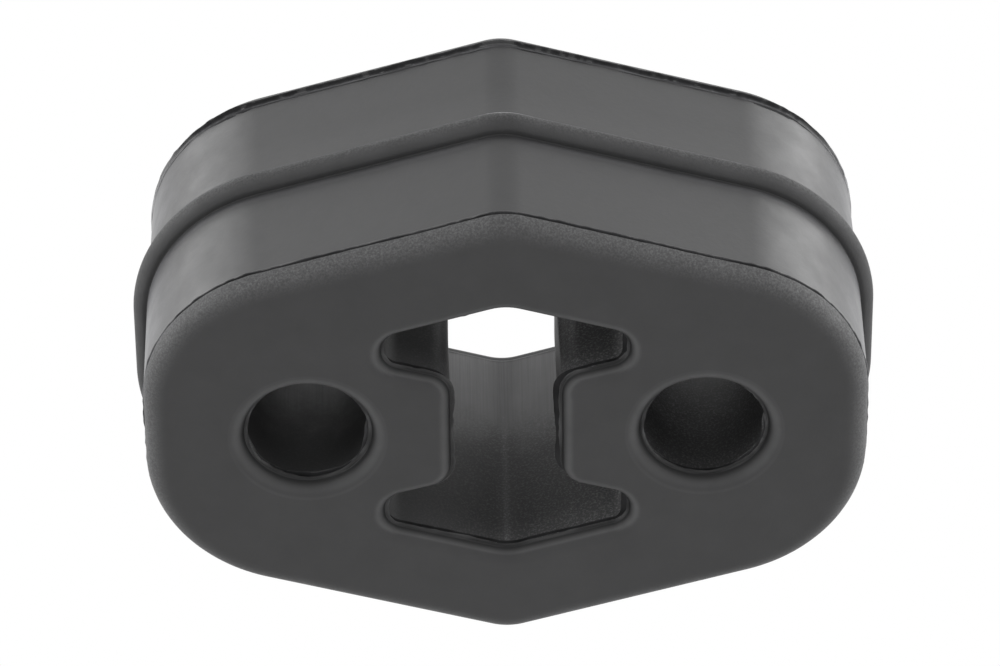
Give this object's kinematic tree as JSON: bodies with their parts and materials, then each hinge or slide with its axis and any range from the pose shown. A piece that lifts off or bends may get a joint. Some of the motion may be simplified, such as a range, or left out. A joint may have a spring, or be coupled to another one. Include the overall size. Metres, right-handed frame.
{
  "type": "exhaust mount",
  "caption": "Moulded black rubber hanger block, ridged above and below, with a girth rib, round rod holes and an I-shaped slot between them.",
  "frame": {"origin": "centre of the block, midway between the two rod holes and between the two faces", "axes": "+X from one rod hole to the other, +Z towards one of the two ridges, -Y out of the front face along the holes"},
  "size_m": [0.0706, 0.0308, 0.0522],
  "materials": {
    "rubber": "matt faces and satin sides, as moulded"
  },
  "bodies": {
    "root": {"rubber_mount": "rubber"}
  },
  "joints": []
}
